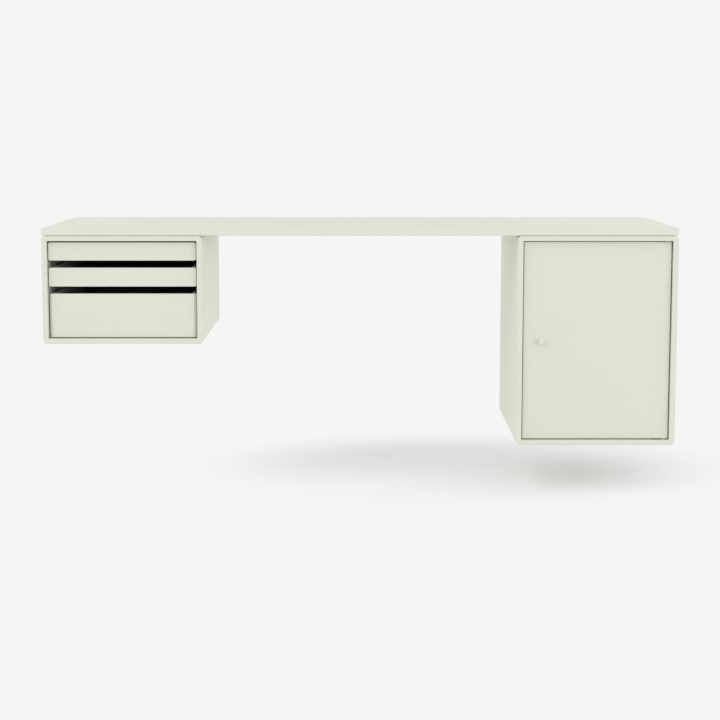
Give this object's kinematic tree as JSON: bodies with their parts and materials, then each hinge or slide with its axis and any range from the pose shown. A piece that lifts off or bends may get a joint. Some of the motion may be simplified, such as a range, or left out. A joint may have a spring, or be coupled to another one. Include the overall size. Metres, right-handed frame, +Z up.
{
  "type": "floating wall desk",
  "caption": "Wall-hung writing desk: a thin top on a low unit with shallow trays and a deep drawer, and a taller cupboard with a pivoted door.",
  "frame": {"origin": "on the wall plane, midway between the wall screws of the two rails", "axes": "+X to the user's right along the wall, +Y into the wall, +Z up"},
  "size_m": [1.404, 0.472, 0.484],
  "materials": {
    "lacquer": "satin lacquer on fibreboard",
    "lining": "grey dyed fibreboard",
    "knob_paint": "satin paint",
    "beech": "raw",
    "runner_plastic": "matte",
    "catch_plastic": "matte",
    "pad_rubber": "matte",
    "rail_aluminium": "satin extrusion",
    "zinc_steel": "zinc plated",
    "screw_steel": "zinc plated",
    "magnet": "ferrite",
    "bush_brass": "turned"
  },
  "bodies": {
    "desk": {"catch_housing": "catch_plastic", "catch_magnet": "magnet", "catch_screws": "screw_steel", "closing_pads": "pad_rubber", "desk_top": "lacquer", "hanger_screws": "screw_steel", "left_back_panel": "lacquer", "left_bottom_panel": "lacquer", "left_hangers": "zinc_steel", "left_inner_panel": "lacquer", "left_mitre_splines": "beech", "left_outer_panel": "lacquer", "left_top_panel": "lacquer", "left_wall_rail": "rail_aluminium", "lower_pivot": "zinc_steel", "pivot_screws": "screw_steel", "right_back_panel": "lacquer", "right_bottom_panel": "lacquer", "right_hangers": "zinc_steel", "right_inner_panel": "lacquer", "right_mitre_splines": "beech", "right_outer_panel": "lacquer", "right_top_panel": "lacquer", "right_wall_rail": "rail_aluminium", "runner_screws": "screw_steel", "runner_strips": "runner_plastic", "shelf": "lacquer", "shelf_pins": "zinc_steel", "top_screws": "screw_steel", "unit_stop_studs": "screw_steel", "upper_pivot": "zinc_steel"},
    "upper_tray": {"upper_tray_back": "lining", "upper_tray_base": "lining", "upper_tray_dowels": "beech", "upper_tray_front": "lacquer", "upper_tray_left_side": "lacquer", "upper_tray_right_side": "lacquer", "upper_tray_stop_studs": "screw_steel"},
    "middle_tray": {"middle_tray_back": "lining", "middle_tray_base": "lining", "middle_tray_dowels": "beech", "middle_tray_front": "lacquer", "middle_tray_left_side": "lacquer", "middle_tray_right_side": "lacquer", "middle_tray_stop_studs": "screw_steel"},
    "deep_drawer": {"deep_drawer_back": "lining", "deep_drawer_base": "lining", "deep_drawer_dowels": "beech", "deep_drawer_front": "lacquer", "deep_drawer_left_side": "lacquer", "deep_drawer_right_side": "lacquer", "deep_drawer_stop_studs": "screw_steel"},
    "door": {"door": "lacquer", "door_knob": "knob_paint", "knob_screw": "screw_steel", "door_bushes": "bush_brass", "strike_plate": "zinc_steel", "strike_screws": "screw_steel"}
  },
  "joints": [
    {"name": "upper_tray_slide", "type": "slide", "parent": "desk", "child": "upper_tray", "axis": [0, -1, 0], "range_m": [0, 0.3]},
    {"name": "middle_tray_slide", "type": "slide", "parent": "desk", "child": "middle_tray", "axis": [0, -1, 0], "range_m": [0, 0.3]},
    {"name": "deep_drawer_slide", "type": "slide", "parent": "desk", "child": "deep_drawer", "axis": [0, -1, 0], "range_m": [0, 0.3]},
    {"name": "door_hinge", "type": "hinge", "parent": "desk", "child": "door", "pos_m": [0.679, -0.453, 0], "axis": [0, 0, 1], "range_deg": [0, 100]}
  ]
}
